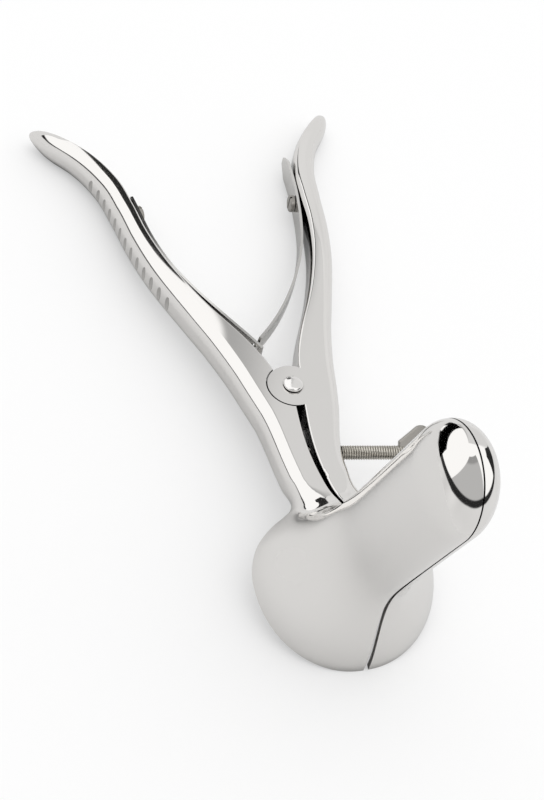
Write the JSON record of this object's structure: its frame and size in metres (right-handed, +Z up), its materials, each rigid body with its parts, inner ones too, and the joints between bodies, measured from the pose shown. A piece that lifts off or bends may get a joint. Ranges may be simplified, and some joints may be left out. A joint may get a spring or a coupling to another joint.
{
  "type": "anal speculum",
  "caption": "Hand-held bivalve speculum: squeezing the two handles spreads its half-shell blades, leaf springs close them and a winged screw holds them open",
  "frame": {"origin": "centre of the footprint of the bounding box, on the surface the instrument lies on", "axes": "+Y runs along the instrument from the blades to the handle tips and is its longest extent, +Z is up and out of the front face of the joint, +X runs from the left half to the right half"},
  "size_m": [0.0984, 0.2072, 0.1],
  "materials": {
    "polished_steel": "stainless steel, polished with a satin sheen",
    "rivet_steel": "stainless steel, bright polish",
    "spring_steel": "stainless spring steel, satin",
    "screw_steel": "stainless steel, plain turned"
  },
  "bodies": {
    "left_lever": {"left_half": "polished_steel", "pivot_rivet": "rivet_steel", "left_spring": "spring_steel", "left_spring_screw": "screw_steel"},
    "right_lever": {"right_half": "polished_steel", "right_spring": "spring_steel", "right_spring_screw": "screw_steel"},
    "set_screw": {"thumb_screw": "screw_steel"}
  },
  "joints": [
    {"name": "blade_pivot", "type": "hinge", "parent": "left_lever", "child": "right_lever", "pos_m": [0.00124, -0.01229, 0.01726], "axis": [0, 0.0666, 0.9978], "range_deg": [0, 28], "stiffness_Nm_per_rad": 4, "springref_deg": -8.59, "deforming": ["left_spring", "right_spring"]},
    {"name": "screw_feed", "type": "slide", "parent": "right_lever", "child": "set_screw", "axis": [-0.9893, 0.1458, -0.0097], "range_m": [0, 0.0111]}
  ],
  "couplings": [
    {"joint": "screw_feed", "follows": "blade_pivot", "m_per_rad": 0.0225}
  ]
}
